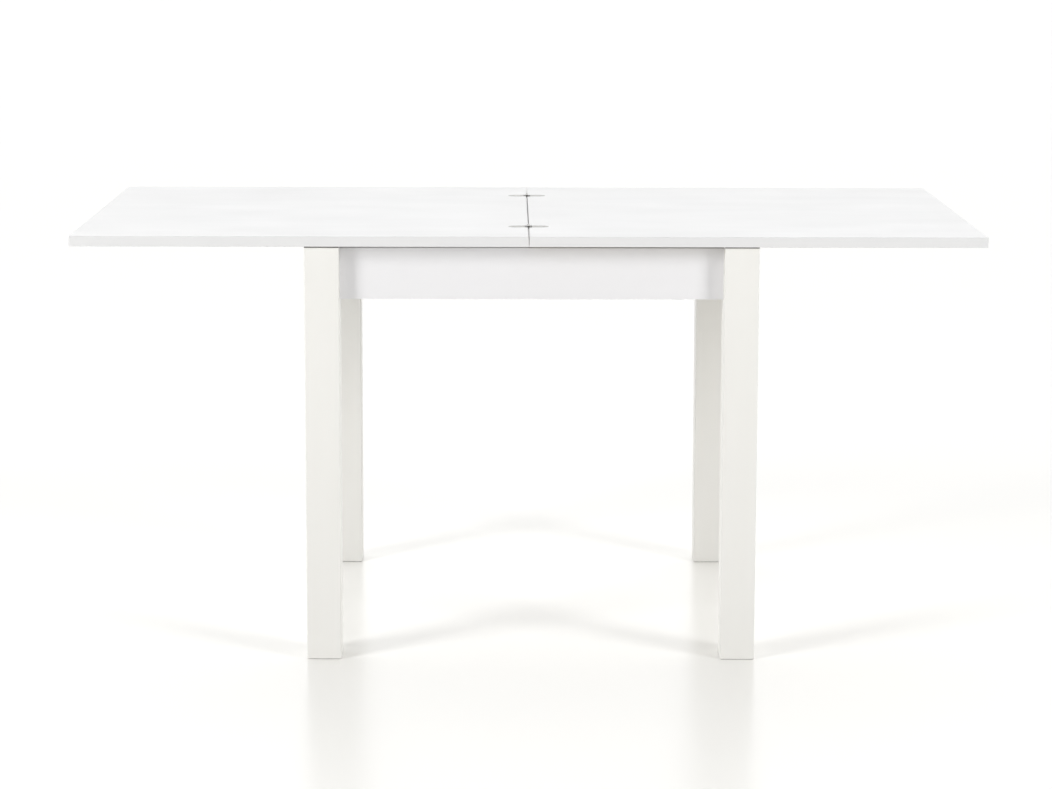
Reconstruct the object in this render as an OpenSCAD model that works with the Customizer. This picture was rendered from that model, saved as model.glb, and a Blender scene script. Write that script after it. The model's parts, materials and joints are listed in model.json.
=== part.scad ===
// Extendable dining table with a folding, sliding top.
// Two square leaves are hinged at a seam across the middle. The left leaf lifts and
// folds face down onto the right one, then both slide until they cover the frame.
// The table is drawn open. Millimetres, +Z up. The origin is on the floor, under the
// middle of the seam, with +X along the open top and -Y towards the front.

/* [Top] */
// Length of one leaf, along the slide
leaf_l = 796; // [660:1:960]
// Width of the top
leaf_w = 800; // [660:1:960]
// Thickness of a leaf
leaf_t = 18; // [14:0.5:24]
// Gap between the two leaves at the seam
seam_gap = 1.6; // [1:0.1:4]
// Thickness of the edging strips
edging_t = 1; // [0.4:0.1:2]
// Height of the table when it is open
table_h = 754; // [620:1:910]

/* [Frame] */
// Length of the frame over the legs, along the slide
frame_l = 790; // [650:1:950]
// Width of the frame over the legs
frame_w = 790; // [650:1:950]
// How far the middle of the frame sits off the seam, towards the sliding leaf
frame_shift = 5; // [0:1:20]
// Side of a square leg
leg_side = 60; // [50:1:75]
// Radius of the long edges of a leg
leg_edge_r = 1.5; // [0.5:0.1:5]
// Thickness of an apron board
apron_t = 16; // [12:1:22]
// Height of an apron board
apron_h = 90; // [75:1:120]
// How far the aprons stand back from the outer faces of the legs
apron_setback = 26; // [6:1:28]
// Gap between an apron and the leaf above it
apron_gap = 5.5; // [2.5:0.1:8]
// Thickness of the glides under the legs
foot_t = 1; // [1:0.5:6]
// How far a foot glide stands in from the faces of its leg
foot_inset = 2; // [0:0.5:10]
// Thickness of the felt pads on the legs
pad_t = 2; // [1:0.1:2.2]
// Running gap between a felt pad and the leaf that slides over it
pad_gap = 0.2; // [0.1:0.1:0.8]

/* [Hinges] */
// From the end of the seam to the middle of a hinge
hinge_inset = 150; // [60:1:250]
// Width of a hinge, along the seam
hinge_w = 28; // [24:1:40]
// From the seam to the round end of a hinge plate
hinge_reach = 36; // [34:1:60]
// Thickness of a hinge plate
plate_t = 2.5; // [2.2:0.1:2.8]
// Radius of the hinge barrel
barrel_r = 2.8; // [2.5:0.1:3.5]
// Radius of the hinge pin
pin_r = 1.4; // [1:0.1:1.6]
// Running clearance around the pin in the moving knuckle
pin_clear = 0.05; // [0.02:0.01:0.1]
// Height of the hinge axis above the open top, which is half the gap when folded
axis_lift = 0.3; // [0.2:0.1:0.6]
// Length of the moving middle knuckle
mid_knuckle_l = 10; // [8:0.5:14]
// Gap between two knuckles
knuckle_gap = 0.3; // [0.2:0.1:0.6]
// Half width of the groove in which the barrel lies
groove_half_w = 6.5; // [5:0.5:8]
// Thickness of the strap from a plate to its knuckle
strap_t = 1.5; // [1:0.1:1.8]
// Clearance around a hinge in its pocket
pocket_clear = 0.3; // [0.2:0.1:0.6]
// Clearance under the barrel in its groove
groove_clear = 0.6; // [0.4:0.1:1]
// From the seam to the first screw of a plate
hinge_screw_x = 13; // [12:0.5:16]
// From the first screw of a plate to the second
hinge_screw_pitch = 14; // [10:0.5:16]

/* [Slide] */
// Height of a guide rail
rail_h = 24; // [20:1:30]
// Depth of a guide rail
rail_d = 15; // [12:0.5:19]
// Wall of a guide rail
rail_wall = 1.5; // [1:0.1:2]
// From the top edge of an apron down to its rail
rail_drop = 2.5; // [1:0.1:5]
// Gap between a rail and the legs at its ends
rail_end_gap = 3; // [1:0.5:6]
// Number of screws in a rail
rail_screw_n = 4; // [3:1:6]
// From the end of a rail to its first screw
rail_screw_edge = 40; // [25:1:60]
// Length of an end stop in a rail
stop_l = 8; // [5:1:15]
// Gap between a glide block and the end stop at the end of the travel
stop_gap = 0.5; // [0.2:0.1:1]
// Thickness of the sheet of a runner
runner_t = 2; // [1.5:0.1:3]
// Width of the runner flange under the leaf
runner_flange_w = 24; // [18:1:34]
// Gap between the rail and the web of the runner
runner_gap = 2; // [1:0.1:3]
// Number of screws in a runner
runner_screw_n = 3; // [2:1:5]
// From the end of a runner to its first screw
runner_screw_edge = 20; // [10:1:40]
// Length of a glide block
glide_l = 36; // [24:1:50]
// Running gap above and below a glide block
glide_gap = 0.3; // [0.2:0.05:0.6]
// Gap behind a glide block, which clears the heads of the rail screws
glide_back_gap = 2.2; // [1.8:0.1:3]
// Distance between the two screws of a glide block
glide_screw_pitch = 18; // [12:1:20]

/* [Corner joints] */
// Thickness of a corner bracket
bracket_t = 2.5; // [2:0.1:4]
// Margin of a bracket to the bottom of the apron and to the rail
bracket_margin = 7; // [4:0.5:10]
// Length of the flanges that are screwed to the aprons
bracket_flange_l = 26; // [20:1:40]
// Gap between the corner of the leg and the bracket
bracket_stand = 4; // [2:0.5:8]
// Width of the flat on the inner corner of a leg
leg_flat_w = 10; // [6:0.5:14]
// Radius of a hanger bolt
bolt_r = 4; // [3:0.5:5]
// Length of a hanger bolt
bolt_l = 60; // [50:1:70]
// Length of a hanger bolt that stands in the leg
bolt_embed = 40; // [30:1:45]
// Distance between the two hanger bolts of a leg
bolt_pitch = 26; // [20:1:30]
// Clearance of a bolt in its bracket
bolt_clear = 0.5; // [0.3:0.1:1]
// Radius of a washer
washer_r = 8; // [6:0.5:10]
// Thickness of a washer
washer_t = 1.6; // [1:0.1:2.5]
// Width across the flats of a nut
nut_af = 13; // [10:1:17]
// Thickness of a nut
nut_t = 6.5; // [4:0.5:8]
// Play between a nut and its bolt
nut_play = 0.1; // [0.05:0.05:0.3]
// Distance between the two screws of a bracket flange
bracket_screw_pitch = 30; // [20:1:36]

/* [Screws] */
// Radius of a screw's shank
screw_r = 1.75; // [1.25:0.05:2.25]
// Radius of a screw's head
screw_head_r = 3.6; // [3:0.1:4.5]
// Height of a pan head
pan_head_h = 1.2; // [0.8:0.1:1.6]
// Height of a countersunk head
csk_head_h = 1.8; // [1.2:0.1:2.2]
// Depth to which a screw enters the board behind the metal
screw_bite = 11; // [8:0.5:11.5]

/* [Hidden] */
$fn = 48;
EPS = 0.01;                                     // overlap that keeps unions and cuts clean
FAR = 200;                                      // longer than anything that a cut goes through

WHITE = "#f4f4f3";
FELT = "#4b4a49";
STEEL = "#b9bcc0";
NICKEL = "#c9c8c4";
NYLON = "#dcdcd6";
BLACK = "#2c2c2d";

// Heights, from the top down
leaf_z = table_h - leaf_t;                      // underside of the open leaves
axis_z = table_h + axis_lift;                   // hinge axis
pad_z = leaf_z - pad_gap - pad_t;               // top of the wooden leg
apron_z1 = leaf_z - apron_gap;
apron_z0 = apron_z1 - apron_h;
rail_z1 = apron_z1 - rail_drop;
rail_z0 = rail_z1 - rail_h;
bracket_z0 = apron_z0 + bracket_margin;
bracket_h = rail_z0 - bracket_margin - bracket_z0;
bracket_mid_z = bracket_z0 + bracket_h / 2;

// Plan of the frame
leg_in_x = frame_l / 2 - leg_side;              // inner faces of the legs, from the middle
leg_in_y = frame_w / 2 - leg_side;
reach = leg_side - apron_setback - apron_t;     // from a leg's inner face out to the apron's
apron_in_y = leg_in_y + reach;                  // inner faces of the aprons

// The slide. The travel carries the sliding leaf from the seam to the middle of the frame.
travel = leaf_l / 2 - frame_shift;
rail_l = 2 * leg_in_x - 2 * rail_end_gap;
rail_x0 = frame_shift - rail_l / 2;
runner_x0 = rail_x0 + stop_l + stop_gap + travel;
runner_x1 = rail_x0 + rail_l - stop_l - stop_gap;
runner_l = runner_x1 - runner_x0;
runner_v = rail_d + runner_gap;                 // web of the runner, from the apron
runner_z0 = rail_z0 + rail_wall;                // lower edge of that web
glide_v = rail_wall + glide_back_gap;           // back of a glide block, from the apron
glide_x = [runner_x0 + glide_l / 2, runner_x1 - glide_l / 2];

// The hinges
hinge_y = leaf_w / 2 - hinge_inset;
plate_z = table_h - plate_t;
side_knuckle_y = mid_knuckle_l / 2 + knuckle_gap;
pin_l = hinge_w - 2 * knuckle_gap;

// The bracket's plan, from the inner corner of the leg
web_w = bracket_stand * sqrt(2);
web_end = web_w + reach;
bend = bracket_t * (sqrt(2) - 1);               // where the inner faces of a 45 degree bend meet

// name, side along X, side along Y
CORNERS = [
    ["front_left", -1, -1], ["front_right", 1, -1], ["rear_left", -1, 1], ["rear_right", 1, 1]
];
// name, side along Y
LONG_SIDES = [["front", -1], ["rear", 1]];
// name, side along X
SHORT_SIDES = [["left", -1], ["right", 1]];
// name, side along X of the seam
LEAVES = [["sliding", 1], ["flip", -1]];
EDGES = ["front", "rear", "end", "seam"];

// Evenly spaced places from first to last
function spread(first, last, n) = [for (i = [0:n - 1]) first + (last - first) * i / (n - 1)];

// ---- where things go ----

// +X and +Y run from the leg's inner corner into the frame
module at_corner(c) {
    translate([frame_shift + c[1] * leg_in_x, c[2] * leg_in_y, 0])
        mirror([c[1] > 0 ? 1 : 0, 0, 0])
            mirror([0, c[2] > 0 ? 1 : 0, 0])
                children();
}

// +Y runs from the inner face of the front or rear apron into the frame
module at_long_side(side) {
    mirror([0, side > 0 ? 1 : 0, 0]) translate([0, -apron_in_y, 0]) children();
}

// +X runs from the seam out along a leaf
module on_leaf(side) {
    mirror([side < 0 ? 1 : 0, 0, 0]) children();
}

// Extrudes a profile drawn in Y and Z along +X
module along_x(length) {
    rotate([90, 0, 90]) linear_extrude(length) children();
}

// +Z of the children points along -Y or -X
module facing_front() {
    rotate([90, 0, 0]) children();
}

module facing_left() {
    rotate([0, -90, 0]) children();
}

// ---- fasteners, with the underside of the head at z = 0 and the shank along +Z ----

module shank(length) {
    tip = 2 * screw_r;
    cylinder(h = length - tip, r = screw_r);
    translate([0, 0, length - tip]) cylinder(h = tip, r1 = screw_r, r2 = screw_r / 4);
}

module cross_recess(depth) {
    slot = screw_head_r * 1.1;
    for (a = [0, 90])
        rotate(a) translate([-slot / 2, -0.4, -depth]) cube([slot, 0.8, depth + EPS]);
}

// Through metal of the given thickness and into the board behind it
module pan_screw(metal_t) {
    edge = 0.3;
    difference() {
        union() {
            shank(metal_t + screw_bite);
            translate([0, 0, -pan_head_h + edge]) cylinder(h = pan_head_h - edge, r = screw_head_r);
            translate([0, 0, -pan_head_h])
                cylinder(h = edge, r1 = screw_head_r - edge, r2 = screw_head_r);
        }
        translate([0, 0, -pan_head_h]) mirror([0, 0, 1]) cross_recess(0.8);
    }
}

// Same screw with its head sunk flush into the metal: the head's top is at z = 0
module csk_screw_solid() {
    cylinder(h = csk_head_h, r1 = screw_head_r, r2 = screw_r);
    shank(plate_t + screw_bite);
}

module csk_screw() {
    difference() {
        csk_screw_solid();
        mirror([0, 0, 1]) cross_recess(1.2);
    }
}

// ---- legs and aprons ----

module rounded_square(side, r) {
    translate([r, 0]) square([side - 2 * r, side]);
    translate([0, r]) square([side, side - 2 * r]);
    for (x = [r, side - r], y = [r, side - r]) translate([x, y]) circle(r);
}

// Everything along the bolt of a corner joint: +Z runs out of the leg into the frame
module along_bolts() {
    for (z = [bracket_mid_z - bolt_pitch / 2, bracket_mid_z + bolt_pitch / 2])
        translate([0, 0, z]) rotate([0, 90, 45]) children();
}

module hanger_bolt() {
    translate([0, 0, -bolt_embed]) cylinder(h = bolt_l, r = bolt_r);
}

module leg() {
    difference() {
        translate([-leg_side, -leg_side, foot_t])
            linear_extrude(pad_z - foot_t) rounded_square(leg_side, leg_edge_r);
        // the flat that the hanger bolts stand on
        rotate(45) translate([-leg_flat_w / 2, -leg_flat_w, apron_z0])
            cube([leg_flat_w, 2 * leg_flat_w, apron_z1]);
        along_bolts() hanger_bolt();
    }
}

module foot_glide() {
    side = leg_side - 2 * foot_inset;
    translate([foot_inset - leg_side, foot_inset - leg_side, 0])
        linear_extrude(foot_t) rounded_square(side, leg_edge_r);
}

module felt_pad() {
    translate([-leg_side, -leg_side, pad_z]) linear_extrude(pad_t) rounded_square(leg_side, leg_edge_r);
}

module long_apron(side) {
    difference() {
        at_long_side(side)
            translate([frame_shift - leg_in_x, -apron_t, apron_z0]) cube([2 * leg_in_x, apron_t, apron_h]);
        bracket_screws();
        rail_screws();
    }
}

module short_apron(side) {
    inner_x = leg_in_x + reach;
    difference() {
        translate([frame_shift, 0, 0]) mirror([side < 0 ? 1 : 0, 0, 0])
            translate([inner_x, -leg_in_y, apron_z0]) cube([apron_t, 2 * leg_in_y, apron_h]);
        bracket_screws();
    }
}

// ---- corner joints ----

module corner_bracket() {
    far = web_end + bracket_flange_l;
    difference() {
        translate([0, 0, bracket_z0]) linear_extrude(bracket_h) polygon([
            [far, -reach], [web_end, -reach], [-reach, web_end], [-reach, far],
            [bracket_t - reach, far], [bracket_t - reach, web_end + bend],
            [web_end + bend, bracket_t - reach], [far, bracket_t - reach]
        ]);
        along_bolts() cylinder(h = FAR, r = bolt_r + bolt_clear);
        corner_screws();
    }
}

module corner_screws() {
    along = web_end + bracket_flange_l / 2 + bend;
    for (z = [bracket_mid_z - bracket_screw_pitch / 2, bracket_mid_z + bracket_screw_pitch / 2]) {
        translate([along, bracket_t - reach, z]) facing_front() pan_screw(bracket_t);
        translate([bracket_t - reach, along, z]) facing_left() pan_screw(bracket_t);
    }
}

module bracket_screws() {
    color(STEEL) for (c = CORNERS) at_corner(c) corner_screws();
}

module hanger_bolts() {
    color(STEEL) for (c = CORNERS) at_corner(c) along_bolts() hanger_bolt();
}

module bolt_washers() {
    color(STEEL) for (c = CORNERS) at_corner(c) along_bolts()
        translate([0, 0, bracket_stand + bracket_t]) difference() {
            cylinder(h = washer_t, r = washer_r);
            translate([0, 0, -EPS]) cylinder(h = washer_t + 2 * EPS, r = bolt_r + bolt_clear);
        }
}

module bolt_nuts() {
    color(STEEL) for (c = CORNERS) at_corner(c) along_bolts()
        translate([0, 0, bracket_stand + bracket_t + washer_t]) difference() {
            cylinder(h = nut_t, r = nut_af / 2 / cos(30), $fn = 6);
            translate([0, 0, -EPS]) cylinder(h = nut_t + 2 * EPS, r = bolt_r + nut_play);
        }
}

// ---- the slide ----

module guide_rail(side) {
    difference() {
        at_long_side(side) translate([rail_x0, 0, 0]) along_x(rail_l) polygon([
            [0, rail_z0], [rail_d, rail_z0], [rail_d, rail_z0 + rail_wall],
            [rail_wall, rail_z0 + rail_wall], [rail_wall, rail_z1 - rail_wall],
            [rail_d, rail_z1 - rail_wall], [rail_d, rail_z1], [0, rail_z1]
        ]);
        rail_screws();
    }
}

module rail_screws() {
    places = spread(rail_x0 + rail_screw_edge, rail_x0 + rail_l - rail_screw_edge, rail_screw_n);
    color(STEEL) for (s = LONG_SIDES, x = places) at_long_side(s[1])
        translate([x, rail_wall, (rail_z0 + rail_z1) / 2]) facing_front() pan_screw(rail_wall);
}

module rail_stops() {
    color(BLACK) for (s = LONG_SIDES, x = [rail_x0, rail_x0 + rail_l - stop_l]) at_long_side(s[1])
        translate([x, rail_wall, rail_z0 + rail_wall])
            cube([stop_l, rail_d - rail_wall, rail_h - 2 * rail_wall]);
}

module leaf_runner(side) {
    flange_v = runner_v + runner_flange_w;
    difference() {
        at_long_side(side) translate([runner_x0, 0, 0]) along_x(runner_l) polygon([
            [runner_v, runner_z0], [runner_v + runner_t, runner_z0],
            [runner_v + runner_t, leaf_z - runner_t], [flange_v, leaf_z - runner_t],
            [flange_v, leaf_z], [runner_v, leaf_z]
        ]);
        runner_screws();
        glide_screws();
    }
}

module runner_screws() {
    places = spread(runner_x0 + runner_screw_edge, runner_x1 - runner_screw_edge, runner_screw_n);
    color(STEEL) for (s = LONG_SIDES, x = places) at_long_side(s[1])
        translate([x, runner_v + (runner_t + runner_flange_w) / 2, leaf_z - runner_t])
            pan_screw(runner_t);
}

module glide_blocks() {
    bottom = rail_z0 + rail_wall + glide_gap;
    height = rail_h - 2 * rail_wall - 2 * glide_gap;
    color(NYLON) difference() {
        for (s = LONG_SIDES, x = glide_x) at_long_side(s[1])
            translate([x - glide_l / 2, glide_v, bottom]) cube([glide_l, runner_v - glide_v, height]);
        glide_screws();
    }
}

// They come through the runner's web from inside the frame
module glide_screws() {
    color(STEEL)
        for (s = LONG_SIDES, x = glide_x, d = [-1, 1] * glide_screw_pitch / 2) at_long_side(s[1])
            translate([x + d, runner_v + runner_t, (rail_z0 + rail_z1) / 2])
                facing_front() pan_screw(runner_t);
}

// ---- the leaves ----

// The groove for the barrel, open at the seam
module hinge_groove() {
    depth = barrel_r - axis_lift + groove_clear;
    half_l = hinge_w / 2 + pocket_clear;
    for (s = LONG_SIDES) translate([-EPS, s[1] * hinge_y - half_l, table_h - depth])
        cube([groove_half_w + pocket_clear, 2 * half_l, depth + EPS]);
}

// The round end keeps out of the groove, however wide the hinge is
module plate_outline(clear = 0) {
    end_r = hinge_w / 2;
    intersection() {
        union() {
            translate([0, -end_r - clear]) square([hinge_reach - end_r, hinge_w + 2 * clear]);
            translate([hinge_reach - end_r, 0]) circle(end_r + clear);
        }
        translate([groove_half_w - clear, -hinge_w]) square([hinge_reach, 2 * hinge_w]);
    }
}

module leaf_board(side) {
    inset = seam_gap / 2 + edging_t;
    difference() {
        on_leaf(side) difference() {
            translate([inset, edging_t - leaf_w / 2, leaf_z])
                cube([leaf_l - edging_t - inset, leaf_w - 2 * edging_t, leaf_t]);
            hinge_groove();
            for (s = LONG_SIDES) translate([0, s[1] * hinge_y, plate_z])
                linear_extrude(plate_t + EPS) plate_outline(pocket_clear);
        }
        hinge_screws(side);
        if (side > 0) runner_screws();
    }
}

module leaf_edging(side, edge) {
    long_x0 = seam_gap / 2;
    short_y = leaf_w / 2 - edging_t;
    color(WHITE) on_leaf(side) difference() {
        if (edge == "front" || edge == "rear")
            translate([long_x0, edge == "front" ? -leaf_w / 2 : short_y, leaf_z])
                cube([leaf_l - long_x0, edging_t, leaf_t]);
        else
            translate([edge == "seam" ? long_x0 : leaf_l - edging_t, -short_y, leaf_z])
                cube([edging_t, 2 * short_y, leaf_t]);
        if (edge == "seam") hinge_groove();
    }
}

// ---- the hinges ----

module knuckle(from_y, to_y) {
    translate([0, to_y, axis_z]) rotate([90, 0, 0]) cylinder(h = to_y - from_y, r = barrel_r);
    translate([0, from_y, axis_z - barrel_r]) cube([groove_half_w + EPS, to_y - from_y, strap_t]);
}

module hinge_plate(side, side_y) {
    bore_r = side > 0 ? pin_r : pin_r + pin_clear;
    color(NICKEL) difference() {
        on_leaf(side) translate([0, side_y * hinge_y, 0]) difference() {
            union() {
                translate([0, 0, plate_z]) linear_extrude(plate_t) plate_outline();
                if (side < 0) knuckle(-mid_knuckle_l / 2, mid_knuckle_l / 2);
                else for (k = [[-hinge_w / 2, -side_knuckle_y], [side_knuckle_y, hinge_w / 2]])
                    knuckle(k[0], k[1]);
            }
            translate([0, hinge_w, axis_z]) rotate([90, 0, 0]) cylinder(h = 2 * hinge_w, r = bore_r);
        }
        hinge_screws(side, csk_solid = true);
    }
}

module hinge_screws(side, csk_solid = false) {
    color(NICKEL) on_leaf(side) for (s = LONG_SIDES, i = [0, 1])
        translate([hinge_screw_x + i * hinge_screw_pitch, s[1] * hinge_y, table_h]) mirror([0, 0, 1])
            if (csk_solid) csk_screw_solid(); else csk_screw();
}

module hinge_pin(side_y) {
    color(STEEL) translate([0, side_y * hinge_y + pin_l / 2, axis_z])
        rotate([90, 0, 0]) cylinder(h = pin_l, r = pin_r);
}

// ---- the pieces, by name ----

for (c = CORNERS) {
    color(WHITE) at_corner(c) leg();
    color(BLACK) at_corner(c) foot_glide();
    color(FELT) at_corner(c) felt_pad();
    color(STEEL) at_corner(c) corner_bracket();
}
for (s = LONG_SIDES) {
    color(WHITE) long_apron(s[1]);
    color(STEEL) guide_rail(s[1]);
    color(STEEL) leaf_runner(s[1]);
    hinge_pin(s[1]);
}
for (s = SHORT_SIDES)
    color(WHITE) short_apron(s[1]);
for (leaf = LEAVES) {
    color(WHITE) leaf_board(leaf[1]);
    hinge_screws(leaf[1]);
    for (edge = EDGES)
        leaf_edging(leaf[1], edge);
    for (s = LONG_SIDES)
        hinge_plate(leaf[1], s[1]);
}
hanger_bolts();
bolt_washers();
bolt_nuts();
bracket_screws();
rail_screws();
rail_stops();
runner_screws();
glide_blocks();
glide_screws();
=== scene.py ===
# %% [markdown]
# # An extendable dining table
# The table is drawn open: two square leaves meet at a seam, on a frame of square legs and aprons.
# The frame file already holds every piece at its real size and place, so this notebook dresses those
# pieces: it softens their edges, gives each its finish, and adds what is too fine to design in solids,
# such as screw threads and the fuzz of felt.

# %% Load the frame
import json
import math

import bmesh
import bpy
from mathutils import Matrix, Vector, noise

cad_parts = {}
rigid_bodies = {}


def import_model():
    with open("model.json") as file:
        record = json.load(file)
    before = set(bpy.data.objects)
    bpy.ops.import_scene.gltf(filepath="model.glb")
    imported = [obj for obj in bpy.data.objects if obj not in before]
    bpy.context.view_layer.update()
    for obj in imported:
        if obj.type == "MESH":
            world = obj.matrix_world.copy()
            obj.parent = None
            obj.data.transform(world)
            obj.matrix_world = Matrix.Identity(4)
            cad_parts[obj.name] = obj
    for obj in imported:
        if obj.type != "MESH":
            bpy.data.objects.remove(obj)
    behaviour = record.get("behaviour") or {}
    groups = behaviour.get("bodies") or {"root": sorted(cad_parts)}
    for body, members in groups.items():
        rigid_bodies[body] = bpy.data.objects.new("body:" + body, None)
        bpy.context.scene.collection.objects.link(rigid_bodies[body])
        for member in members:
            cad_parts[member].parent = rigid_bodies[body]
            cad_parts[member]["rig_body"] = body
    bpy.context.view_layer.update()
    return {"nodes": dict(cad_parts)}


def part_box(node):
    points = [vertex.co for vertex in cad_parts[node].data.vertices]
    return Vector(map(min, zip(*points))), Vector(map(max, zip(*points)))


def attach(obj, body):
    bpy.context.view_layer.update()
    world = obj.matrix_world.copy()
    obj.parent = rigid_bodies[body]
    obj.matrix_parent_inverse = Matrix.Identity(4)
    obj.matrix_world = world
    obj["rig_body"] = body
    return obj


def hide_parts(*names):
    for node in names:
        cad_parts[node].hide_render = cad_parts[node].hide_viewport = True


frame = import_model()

MM = 0.001
nodes = frame["nodes"]

# %% [markdown]
# ## The camera
# Furniture is best seen through a long lens from a few paces away, a little above the top, so that the
# top shows as a thin slice and the legs stay upright. A long lens also keeps parallel edges nearly
# parallel. A small upward shift, as on a view camera, lets the camera look a little less steeply down,
# which is what keeps the legs from leaning together.

# %% Camera
CAMERA_PLACE = Vector((-0.036, -5.322, 1.369))
TURN, DROP, TILT = (math.radians(a) for a in (0.36, 8.38, 0.15))

camera_data = bpy.data.cameras.new("camera")
camera_data.lens = 98.1
camera_data.shift_y = -0.09
camera = bpy.data.objects.new("camera", camera_data)
camera.matrix_world = (
    Matrix.Translation(CAMERA_PLACE)
    @ Matrix.Rotation(-TURN, 4, "Z")
    @ Matrix.Rotation(math.pi / 2 - DROP, 4, "X")
    @ Matrix.Rotation(TILT, 4, "Z")
)
bpy.context.scene.collection.objects.link(camera)
bpy.context.scene.camera = camera
print("camera is", round((CAMERA_PLACE - Vector((0, 0, 0.4))).length, 2), "m from the table")

# %% [markdown]
# ## The studio
# White furniture on a white floor needs shadows to show its shape, so most of the light comes from two
# low soft boxes, far out on each side of the camera. Each leg then throws two soft shadows that run
# back across the floor, and the leaf throws one on the apron. A low lamp also reaches in under the top
# and lights the rear legs. The room itself gives the fill. It is brighter behind the table, where a
# white backdrop would hang, and a soft step along Y in the world's strength does that without a real
# backdrop in the way of a camera that walks round. The step starts a little in front of the zenith, so
# the light from above also reaches the floor. The view transform is Standard, because a white product
# needs its whites to stay white.

# %% Studio light
scene = bpy.context.scene
scene.view_settings.view_transform = "Standard"

ROOM_FRONT, ROOM_BACK = 0.23, 1.49
STEP_STARTS, STEP_ENDS = -0.25, 0.85
world = bpy.data.worlds.new("white_room")
world.use_nodes = True
room = world.node_tree
towards = room.nodes.new("ShaderNodeTexCoord")
split = room.nodes.new("ShaderNodeSeparateXYZ")
step = room.nodes.new("ShaderNodeMapRange")
step.interpolation_type = "SMOOTHSTEP"
reach = {"From Min": STEP_STARTS, "From Max": STEP_ENDS, "To Min": ROOM_FRONT, "To Max": ROOM_BACK}
for name, value in reach.items():
    step.inputs[name].default_value = value
room.links.new(towards.outputs["Generated"], split.inputs["Vector"])
room.links.new(split.outputs["Y"], step.inputs["Value"])
room.links.new(step.outputs["Result"], room.nodes["Background"].inputs["Strength"])
room.nodes["Background"].inputs["Color"].default_value = (1, 1, 1, 1)
scene.world = world

LAMP_AIM = Vector((0, 0, 0.4))
LAMP_AWAY = 8.0
LAMP_WIDE, LAMP_TALL = 2.2, 4.6
LAMP_ASIDE, LAMP_RISE = 52, 21
LEFT_POWER, RIGHT_POWER = 360, 303


def soft_box(name, aside, rise, power):
    """A tall lamp so many degrees to the right of the front and above the floor."""
    data = bpy.data.lights.new(name, "AREA")
    data.shape, data.energy = "RECTANGLE", power
    data.size, data.size_y = LAMP_WIDE, LAMP_TALL
    turn, lift = math.radians(aside), math.radians(rise)
    back = Vector((math.sin(turn) * math.cos(lift), -math.cos(turn) * math.cos(lift), math.sin(lift)))
    facing = back.to_track_quat("Z", "Y").to_matrix().to_4x4()
    lamp = bpy.data.objects.new(name, data)
    lamp.matrix_world = Matrix.Translation(LAMP_AIM + back * LAMP_AWAY) @ facing
    scene.collection.objects.link(lamp)
    return lamp


for lamp in (
    soft_box("left_soft_box", -LAMP_ASIDE, LAMP_RISE, LEFT_POWER),
    soft_box("right_soft_box", LAMP_ASIDE, LAMP_RISE, RIGHT_POWER),
):
    print(lamp.name, [round(v, 2) for v in lamp.location])

# %% [markdown]
# ## Helpers for finishes
# Each finish is a Principled shader with a few textures. The textures read Object coordinates, which
# are metres here, so a scale of 1000 makes features of about a millimetre. `Finish` keeps the node
# clutter in one place: `speckle` makes a noise, `blend_colour` and `blend_rough` let it vary colour and
# gloss, and `relief` turns it into bumps of a real height.

# %% Finish helper
class Finish:
    def __init__(self, name, colour, rough, **sockets):
        self.material = bpy.data.materials.new(name)
        self.material.use_nodes = True
        self.tree = self.material.node_tree
        self.shader = self.tree.nodes["Principled BSDF"]
        self.set(**{"Base Color": (*colour, 1), "Roughness": rough}, **sockets)
        self.coords = self.tree.nodes.new("ShaderNodeTexCoord").outputs["Object"]
        self.normal = None

    def set(self, **sockets):
        for name, value in sockets.items():
            self.shader.inputs[name.replace("_", " ")].default_value = value

    def node(self, kind, inputs=None, **settings):
        made = self.tree.nodes.new("ShaderNode" + kind)
        for name, value in settings.items():
            setattr(made, name, value)
        for name, value in (inputs or {}).items():
            if isinstance(value, bpy.types.NodeSocket):
                self.tree.links.new(value, made.inputs[name])
            else:
                made.inputs[name].default_value = value
        return made

    def speckle(self, size, stretch=(1, 1, 1), detail=3.0, contrast=(0.3, 0.7)):
        """A noise from 0 to 1 whose grains are size metres across, longer where stretch is more."""
        scale = [1 / (size * s) for s in stretch]
        spread = self.node("Mapping", {"Vector": self.coords, "Scale": scale})
        grain = self.node("TexNoise", {"Vector": spread.outputs[0], "Scale": 1.0, "Detail": detail})
        low, high = contrast
        return self.node(
            "MapRange", {"Value": grain.outputs["Fac"], "From Min": low, "From Max": high}
        ).outputs["Result"]

    def blend_colour(self, amount, first, second):
        mix = self.node("Mix", data_type="RGBA")
        mix.inputs[6].default_value, mix.inputs[7].default_value = (*first, 1), (*second, 1)
        self.tree.links.new(amount, mix.inputs[0])
        self.tree.links.new(mix.outputs[2], self.shader.inputs["Base Color"])

    def blend_rough(self, amount, first, second):
        spread = self.node("MapRange", {"Value": amount, "To Min": first, "To Max": second})
        self.tree.links.new(spread.outputs["Result"], self.shader.inputs["Roughness"])

    def relief(self, amount, height):
        bump = self.node("Bump", {"Height": amount, "Distance": height, "Strength": 1.0})
        if self.normal:
            self.tree.links.new(self.normal, bump.inputs["Normal"])
        self.normal = bump.outputs["Normal"]
        self.tree.links.new(self.normal, self.shader.inputs["Normal"])


# %% [markdown]
# ## Helpers for pieces
# Every piece starts as a merged copy of its solid. The solid is stored as loose triangles, so the copy
# first joins their corners and then drops the edges inside flat faces. Real edges are never
# razor sharp, so `soften` bevels each edge that turns by more than 30 degrees, and the thin highlight
# along a bevel is what makes a piece look made. Weighted normals keep the large faces flat beside it.

# %% Piece helpers
SAME_POINT = 0.001 * MM
FLAT = math.radians(0.2)
FACES_DOWN = -0.9


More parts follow.
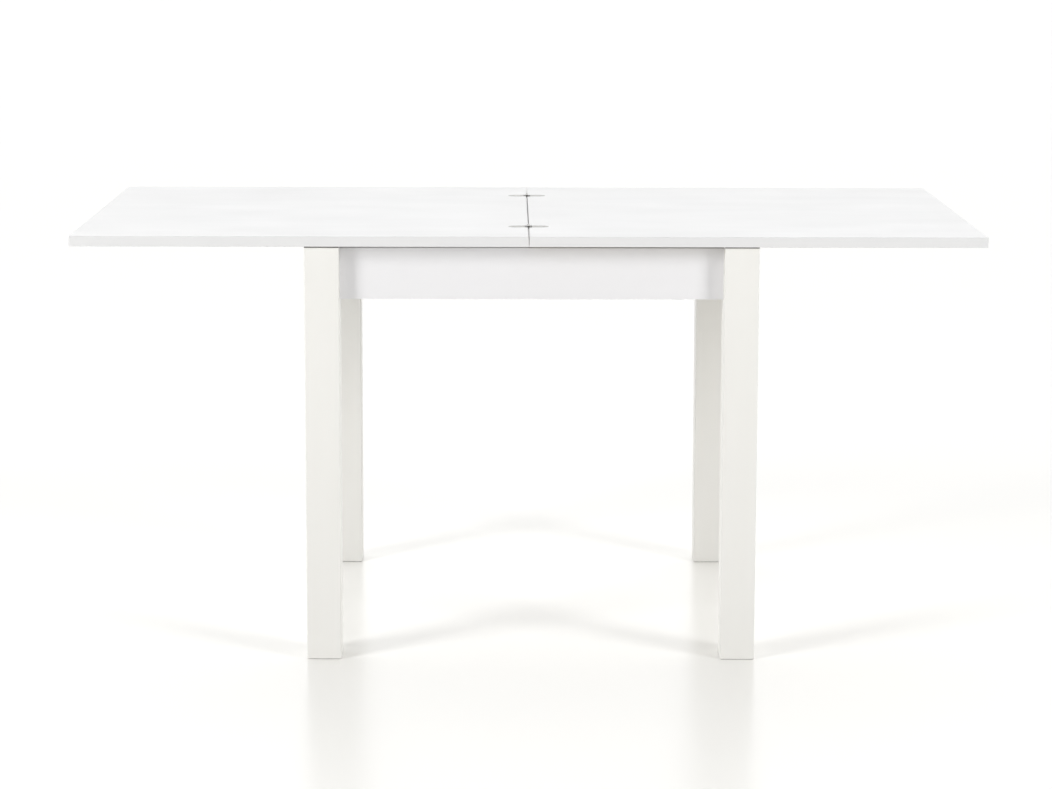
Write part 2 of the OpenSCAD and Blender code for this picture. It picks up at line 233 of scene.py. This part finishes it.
def merged_copy(node):
    """The node's solid as one skin with large flat faces."""
    bm = bmesh.new()
    bm.from_mesh(nodes[node].data)
    bmesh.ops.remove_doubles(bm, verts=bm.verts, dist=SAME_POINT)
    bmesh.ops.dissolve_limit(bm, angle_limit=FLAT, verts=bm.verts, edges=bm.edges)
    return bm


def block(node):
    """A plain block that fills the node's box, for pieces that get their shape here."""
    low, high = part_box(node)
    bm = bmesh.new()
    bmesh.ops.create_cube(bm, size=1)
    bmesh.ops.scale(bm, vec=high - low, verts=bm.verts)
    bmesh.ops.translate(bm, vec=(low + high) / 2, verts=bm.verts)
    return bm


def bevel_edges(bm, edges, radius, segments=3):
    bmesh.ops.bevel(
        bm, geom=edges, offset=radius, offset_type="OFFSET", segments=segments, profile=0.5,
        affect="EDGES", clamp_overlap=True, material=-1,
    )


def sharp_edges(bm, over):
    """The edges that turn by more than so many degrees."""
    turn = math.radians(over)
    return [e for e in bm.edges if len(e.link_faces) == 2 and e.calc_face_angle() > turn]


def soften(bm, radius, segments=2, over=30):
    """Bevels every edge that turns by more than so many degrees."""
    bevel_edges(bm, sharp_edges(bm, over), radius, segments)
    return bm


def finish_piece(bm, name, node, finish, crease=40, underside=None):
    """Makes the object, which stands for its node and rides on the node's body."""
    for face in bm.faces:
        face.smooth = True
        face.material_index = 1 if underside and face.normal.z < FACES_DOWN else 0
    for edge in sharp_edges(bm, crease):
        edge.smooth = False
    mesh = bpy.data.meshes.new(name)
    bm.to_mesh(mesh)
    bm.free()
    for made in filter(None, (finish, underside)):
        mesh.materials.append(made.material)
    piece = bpy.data.objects.new(name, mesh)
    scene.collection.objects.link(piece)
    weighted = piece.modifiers.new("flat_faces", "WEIGHTED_NORMAL")
    weighted.keep_sharp = True
    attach(piece, nodes[node]["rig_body"])
    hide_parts(node)
    return piece


def named(start):
    return sorted(n for n in nodes if n.startswith(start))


# %% [markdown]
# ## Finishes: white board, edge band and lacquered wood
# The leaves are melamine-faced board. Its white is neutral, and its surface has a fine pearl texture
# that breaks up reflections, with grains a little under a millimetre. Long soft clouds in the gloss
# come from the press and from wiping.

# %% Board finish
board = Finish("board_white", (0.745, 0.745, 0.745), 0.34, Specular_IOR_Level=0.5)
board.blend_colour(board.speckle(0.25), (0.751, 0.751, 0.750), (0.739, 0.740, 0.742))
board.blend_rough(board.speckle(0.06, stretch=(3, 1, 1)), 0.30, 0.38)
board.relief(board.speckle(0.0008, detail=1.0), 0.012 * MM)

# %% [markdown]
# The underside of the sliding leaf is never on show. It carries a plain backing foil: creamier,
# duller and without the pearl. Its darker, warmer colour is painted shade: it is set to deepen and warm
# the shade that falls on the apron below the leaf. The flip leaf is white on both faces, because its
# underside becomes the top when the table is folded.

# %% Backing finish, whose colour is painted shade for the apron below
# Painted shade: the backing is darker and warmer than the board so that the apron under the leaf falls into
# deeper, warmer shade.
shade_deepening_backing = Finish("backing_foil", (0.62, 0.59, 0.53), 0.6, Specular_IOR_Level=0.3)
shade_deepening_backing.blend_colour(shade_deepening_backing.speckle(0.004, detail=5.0), (0.63, 0.60, 0.54), (0.61, 0.58, 0.52))
shade_deepening_backing.blend_rough(shade_deepening_backing.speckle(0.05, stretch=(3, 1, 1)), 0.52, 0.66)
shade_deepening_backing.relief(shade_deepening_backing.speckle(0.0012, detail=2.0), 0.01 * MM)

# %% [markdown]
# Edge band is a plastic tape that is drawn past a scraper, so it has faint lines along its length. One
# stretch serves all four edges, because it is long in X and Y and short in Z.

# %% Edge band finish
band = Finish("edge_band", (0.712, 0.712, 0.712), 0.40, Specular_IOR_Level=0.5)
band.blend_colour(band.speckle(0.12), (0.724, 0.724, 0.724), (0.713, 0.713, 0.717))
band.blend_rough(band.speckle(0.0009, stretch=(60, 60, 1)), 0.36, 0.46)
band.relief(band.speckle(0.0007, stretch=(80, 80, 1), detail=1.0), 0.008 * MM)

# %% [markdown]
# Legs and aprons are sprayed with a satin lacquer over a primed core. Lacquer levels into low waves
# that are a few millimetres across, called orange peel, and the grain telegraphs through as very
# shallow lines. The legs are a little warmer than the aprons. The grain runs up a leg and along an
# apron, so the finish takes the direction as a stretch.

# %% Lacquer finishes
def lacquer(name, light, dark, grain):
    made = Finish(name, light, 0.4, Specular_IOR_Level=0.5, Coat_Weight=0.15, Coat_Roughness=0.25)
    made.blend_colour(made.speckle(0.05, stretch=grain, detail=4.0), light, dark)
    made.blend_rough(made.speckle(0.03, stretch=grain), 0.36, 0.46)
    made.relief(made.speckle(0.003), 0.02 * MM)
    made.relief(made.speckle(0.0006, stretch=[g * 3 for g in grain], detail=2.0), 0.012 * MM)
    return made


leg_white = lacquer("leg_lacquer", (0.805, 0.796, 0.768), (0.791, 0.782, 0.751), (1, 1, 9))
apron_white = lacquer("apron_lacquer", (0.769, 0.764, 0.775), (0.757, 0.751, 0.764), (9, 9, 1))

# %% [markdown]
# ## The leaves
# Each leaf is a board with a strip of band glued to each edge. The board keeps the pockets that the
# hinges lie in. Its edges get only a hairline bevel, so a fine glue line shows between board and band,
# as it does on the real edge.

# %% Boards
BOARD_EDGE = 0.12 * MM
# The sliding leaf's underside takes the backing, whose darker colour is painted shade for the apron below.
for node, underside in (("sliding_leaf", shade_deepening_backing), ("flip_leaf", None)):
    bm = soften(merged_copy(node), BOARD_EDGE)
    piece = finish_piece(bm, node.replace("leaf", "board"), node, board, underside=underside)
    print(piece.name, len(piece.data.polygons), "faces")

# %% [markdown]
# A band is trimmed after gluing with a round cutter of almost a millimetre, which takes off only the
# outer edges. So a plain block is made first, and a bevel goes on the four edges of its outer face. The
# seam band has notches for the hinges, so it starts from its solid instead.

# %% Edge bands
BAND_ROUND = 0.8 * MM
SEAM_ROUND = 0.3 * MM


def outer_edges(bm, node):
    """The edges around the face that looks away from the middle of the top."""
    low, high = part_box(node)
    middle = (low + high) / 2
    axis = 1 if node.endswith(("front", "rear")) else 0
    reach = max(abs(low[axis]), abs(high[axis])) * (1 if middle[axis] > 0 else -1)
    return [e for e in bm.edges if all(abs(v.co[axis] - reach) < 0.01 * MM for v in e.verts)]


for node in named("sliding_edging") + named("flip_edging"):
    if node.endswith("seam"):
        bm = soften(merged_copy(node), SEAM_ROUND)
    else:
        bm = block(node)
        bevel_edges(bm, outer_edges(bm, node), BAND_ROUND, segments=4)
    finish_piece(bm, node.replace("edging", "band"), node, band)
print("bands:", len(named("sliding_edging") + named("flip_edging")))

# %% [markdown]
# ## Legs and aprons
# A leg is a square post whose long edges were rounded on a spindle, which its solid already has. Its
# ends get a small bevel, and so does the flat on its inner corner where the hanger bolts stand.
# The aprons are plain boards between the legs.

# %% Legs and aprons
SANDED_EDGE = 0.6 * MM
for node in named("leg_"):
    finish_piece(soften(merged_copy(node), SANDED_EDGE), node.replace("leg_", "post_"), node, leg_white)
for node in named("apron_"):
    finish_piece(soften(merged_copy(node), SANDED_EDGE, segments=3), node + "_board", node, apron_white)
print("legs:", len(named("leg_")), "aprons:", len(named("apron_")))

# %% [markdown]
# ## Felt pads
# The leaves rest and slide on felt glued to the tops of the legs. Felt is a mat of fibres, so its
# edge is never straight. The block is subdivided and each point is moved a little by a smooth noise,
# inwards only, so that the pad stays inside its space. The shader adds fibres finer than the mesh.

# %% Felt finish and pads
felt = Finish(
    "dark_felt", (0.045, 0.043, 0.041), 0.95,
    Specular_IOR_Level=0.15, Sheen_Weight=0.35, Sheen_Roughness=0.6,
)
felt.blend_colour(felt.speckle(0.0009, detail=6.0), (0.075, 0.072, 0.068), (0.022, 0.021, 0.020))
felt.relief(felt.speckle(0.0005, stretch=(3, 3, 1), detail=5.0), 0.15 * MM)

PAD_EDGE = 0.35 * MM
PAD_CUTS = 40
PAD_FUZZ = 0.25 * MM
FUZZ_SIZE = 1.5 * MM
FLATTEN = Vector((1, 1, 4))
for node in named("felt_pad"):
    bm = block(node)
    bevel_edges(bm, bm.edges[:], PAD_EDGE, segments=2)
    long_edges = [e for e in bm.edges if e.calc_length() > 10 * MM]
    bmesh.ops.subdivide_edges(bm, edges=long_edges, cuts=PAD_CUTS, use_grid_fill=True)
    middle = sum(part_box(node), Vector()) / 2
    for v in bm.verts:
        inward = (middle - v.co) * FLATTEN
        v.co += inward.normalized() * PAD_FUZZ * abs(noise.noise(v.co / FUZZ_SIZE))
    finish_piece(bm, node.replace("felt_pad", "pad"), node, felt, crease=60)
print("felt pads:", len(named("felt_pad")))

# %% [markdown]
# ## Foot glides
# Thin grey plastic glides are nailed under the legs, so the table can be pushed along a floor. Moulded
# plastic has an even grain from the etched mould.

# %% Foot glides
grey_plastic = Finish("grey_plastic", (0.42, 0.42, 0.41), 0.5, Specular_IOR_Level=0.45)
grey_plastic.blend_colour(grey_plastic.speckle(0.006, detail=4.0), (0.45, 0.45, 0.44), (0.38, 0.38, 0.37))
grey_plastic.blend_rough(grey_plastic.speckle(0.004), 0.42, 0.6)
grey_plastic.relief(grey_plastic.speckle(0.0004, detail=1.0), 0.02 * MM)
GLIDE_EDGE = 0.3 * MM
for node in named("foot_glide"):
    finish_piece(soften(merged_copy(node), GLIDE_EDGE), node.replace("foot_", ""), node, grey_plastic)
print("foot glides:", len(named("foot_glide")))

# %% [markdown]
# ## The hinges
# Each hinge is two plates let into the leaves, with a barrel across the seam. Nickel-plated steel is a
# warm grey metal, brushed along the plate. Brushing gives fine parallel scratches, so the noise is
# stretched along X, and the same noise drives the gloss and the relief.

# %% Nickel finish and hinge pieces
nickel = Finish("brushed_nickel", (0.28, 0.272, 0.258), 0.34, Metallic=1.0)
nickel.blend_colour(nickel.speckle(0.006), (0.33, 0.32, 0.30), (0.22, 0.216, 0.208))
brushing = nickel.speckle(0.0002, stretch=(60, 1, 1), detail=2.0)
nickel.blend_rough(brushing, 0.24, 0.44)
nickel.relief(brushing, 0.004 * MM)

PLATE_EDGE, SCREW_EDGE, PIN_EDGE = 0.18 * MM, 0.08 * MM, 0.3 * MM
hinge_plates = named("sliding_hinge_plate") + named("flip_hinge_plate")
for node in hinge_plates:
    finish_piece(soften(merged_copy(node), PLATE_EDGE), node.replace("hinge_plate", "hinge"), node, nickel)
for node in ("sliding_hinge_screws", "flip_hinge_screws"):
    finish_piece(soften(merged_copy(node), SCREW_EDGE), node.replace("screws", "screw_set"), node, nickel)
for node in named("hinge_pin"):
    finish_piece(soften(merged_copy(node), PIN_EDGE), node.replace("hinge_", ""), node, nickel)
print("hinge plates:", len(hinge_plates), "pins:", len(named("hinge_pin")))

# %% [markdown]
# ## Sheet metal
# Rails, runners and brackets are pressed from zinc-plated sheet. Zinc plating has a cool grey with
# cloudy patches of a centimetre or so and faint rolling lines.

# %% Zinc finish and sheet pieces
zinc = Finish("zinc_plate", (0.62, 0.63, 0.65), 0.38, Metallic=1.0)
zinc.blend_colour(zinc.speckle(0.012, detail=5.0), (0.68, 0.69, 0.71), (0.52, 0.535, 0.56))
zinc.blend_rough(zinc.speckle(0.008, detail=4.0), 0.28, 0.5)
zinc.relief(zinc.speckle(0.0006, stretch=(40, 40, 1), detail=2.0), 0.006 * MM)

SHEET_EDGE = 0.25 * MM
sheets = named("guide_rail") + named("leaf_runner") + named("corner_bracket")
for node in sheets:
    finish_piece(soften(merged_copy(node), SHEET_EDGE), node + "_sheet", node, zinc)
print("rails, runners and brackets:", len(sheets))

# %% [markdown]
# ## Glide blocks and end stops
# The blocks are milky nylon, which lets a little light in. The stops are black rubber.

# %% Plastic finishes and pieces
nylon = Finish("milky_nylon", (0.78, 0.78, 0.75), 0.42, Subsurface_Weight=0.3, Subsurface_Scale=0.002)
nylon.blend_rough(nylon.speckle(0.005), 0.34, 0.5)
nylon.relief(nylon.speckle(0.0005, detail=1.0), 0.01 * MM)
rubber = Finish("black_rubber", (0.02, 0.02, 0.02), 0.75, Specular_IOR_Level=0.3)
rubber.blend_rough(rubber.speckle(0.003), 0.65, 0.85)
rubber.relief(rubber.speckle(0.0007), 0.03 * MM)

MOULDED_EDGE = 0.6 * MM
finish_piece(soften(merged_copy("glide_blocks"), MOULDED_EDGE), "nylon_glides", "glide_blocks", nylon)
finish_piece(soften(merged_copy("rail_stops"), MOULDED_EDGE), "rubber_stops", "rail_stops", rubber)
print("glide blocks and end stops dressed")

# %% [markdown]
# ## Fasteners
# Screw heads, washers and nuts are bright zinc.

# %% Fastener finish and pieces
bright_zinc = Finish("bright_zinc", (0.70, 0.70, 0.71), 0.25, Metallic=1.0)
bright_zinc.blend_colour(bright_zinc.speckle(0.004), (0.74, 0.74, 0.75), (0.62, 0.62, 0.64))
bright_zinc.blend_rough(bright_zinc.speckle(0.002, detail=4.0), 0.18, 0.36)

HEAD_EDGE, NUT_EDGE = 0.1 * MM, 0.3 * MM
screws = ("bracket_screws", "rail_screws", "runner_screws", "glide_screws")
for node in screws:
    finish_piece(soften(merged_copy(node), HEAD_EDGE), node.replace("screws", "screw_set"), node, bright_zinc)
for node in ("bolt_nuts", "bolt_washers"):
    finish_piece(soften(merged_copy(node), NUT_EDGE), node, node, bright_zinc)
print("screw sets:", len(screws))

# %% [markdown]
# A hanger bolt has two threads: a coarse one that bites into the leg, and a fine one that takes the nut.
# Each is one tooth, drawn in outline and spun up the bolt. Every step of the spin also rises a little,
# so that after a full turn a tooth meets the one before and their points are merged. The two ends run
# past the length and are cut flat, and the cuts are filled.

# %% Threaded rod
BOLT_RADIUS = 4 * MM
COARSE_PITCH, FINE_PITCH = 3.2 * MM, 1.25 * MM
FINE_DEPTH = 0.61 * FINE_PITCH
COARSE_DEPTH = 1.6 * FINE_DEPTH
FINE_LENGTH = 24 * MM
TURN_STEPS = 16


def threaded_rod(length, pitch, depth):
    """A closed rod up the Z axis with a helical thread."""
    bm = bmesh.new()
    root = BOLT_RADIUS - depth
    outline = [(root, 0, -2 * pitch), (BOLT_RADIUS, 0, -1.5 * pitch), (root, 0, -pitch)]
    points = [bm.verts.new(point) for point in outline]
    tooth = points + [bm.edges.new(pair) for pair in zip(points, points[1:])]
    turns = math.ceil(length / pitch) + 3
    bmesh.ops.spin(
        bm, geom=tooth, cent=(0, 0, 0), axis=(0, 0, 1), dvec=(0, 0, pitch / TURN_STEPS),
        angle=turns * math.tau, steps=turns * TURN_STEPS, use_merge=False,
    )
    bmesh.ops.remove_doubles(bm, verts=bm.verts, dist=0.01 * MM)
    for height, outward in ((0, -1), (length, 1)):
        everything = bm.verts[:] + bm.edges[:] + bm.faces[:]
        bmesh.ops.bisect_plane(
            bm, geom=everything, plane_co=(0, 0, height), plane_no=(0, 0, outward), clear_outer=True
        )
    for height in (0, length):
        open_edges = [e for e in bm.edges if e.is_boundary]
        rim = [e for e in open_edges if all(abs(v.co.z - height) < SAME_POINT for v in e.verts)]
        bmesh.ops.contextual_create(bm, geom=rim)
    bmesh.ops.recalc_face_normals(bm, faces=bm.faces)
    rod = bpy.data.meshes.new("rod")
    bm.to_mesh(rod)
    bm.free()
    return rod


fine_rod = threaded_rod(FINE_LENGTH, FINE_PITCH, FINE_DEPTH)
print("fine thread:", len(fine_rod.polygons), "faces")

# %% [markdown]
# The eight bolts share one solid, so its skin is first taken apart into its shells. A bolt points from
# the leg's inner corner at the middle of the frame, at 45 degrees. Its two rods are laid end to end
# along its shell, the coarse one in the leg.

# %% Hanger bolts
def shells(bm):
    """The separate shells of a skin, each as a list of its points in the skin's own order."""
    bm.verts.index_update()
    left, found = set(bm.verts), []
    while left:
        ahead, shell = [left.pop()], []
        while ahead:
            point = ahead.pop()
            shell.append(point)
            near = {edge.other_vert(point) for edge in point.link_edges} & left
            left -= near
            ahead.extend(near)
        shell.sort(key=lambda point: point.index)
        found.append([point.co.copy() for point in shell])
    return found


def add_copy(bm, mesh, matrix):
    """Adds the mesh to the skin, moved by the matrix."""
    before = len(bm.verts)
    bm.from_mesh(mesh)
    bm.verts.ensure_lookup_table()
    bmesh.ops.transform(bm, matrix=matrix, verts=bm.verts[before:])


solid = merged_copy("hanger_bolts")
bolts = [(sum(shell, Vector()) / len(shell), shell) for shell in shells(solid)]
solid.free()
frame_middle = sum(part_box("apron_front"), Vector()) / 2
bm = bmesh.new()
for middle, shell in sorted(bolts, key=lambda bolt: tuple(round(v, 4) for v in bolt[0])):
    inward = Vector((math.copysign(1, frame_middle.x - middle.x), -math.copysign(1, middle.y), 0))
    inward.normalize()
    reach = [(point - middle).dot(inward) for point in shell]
    turned = inward.to_track_quat("Z", "Y").to_matrix().to_4x4()
    coarse_length = max(reach) - min(reach) - FINE_LENGTH
    coarse_rod = threaded_rod(coarse_length, COARSE_PITCH, COARSE_DEPTH)
    add_copy(bm, coarse_rod, Matrix.Translation(middle + inward * min(reach)) @ turned)
    add_copy(bm, fine_rod, Matrix.Translation(middle + inward * (max(reach) - FINE_LENGTH)) @ turned)
piece = finish_piece(bm, "threaded_bolts", "hanger_bolts", bright_zinc)
print("hanger bolts:", len(bolts), "with", len(piece.data.polygons), "faces")

# %% [markdown]
# ## The floor
# A pale floor with a satin gloss, which mirrors the feet of the legs faintly. It reaches far enough back
# that its far edge never shows. It is not attached to any of the table's bodies.

# %% Floor
FLOOR_REACH = 80
floor_finish = Finish("studio_floor", (0.93, 0.922, 0.895), 0.22, Specular_IOR_Level=0.45)
floor_mesh = bpy.data.meshes.new("floor")
bm = bmesh.new()
bmesh.ops.create_grid(bm, x_segments=1, y_segments=1, size=FLOOR_REACH)
bm.to_mesh(floor_mesh)
bm.free()
floor_mesh.materials.append(floor_finish.material)
floor = bpy.data.objects.new("floor", floor_mesh)
scene.collection.objects.link(floor)
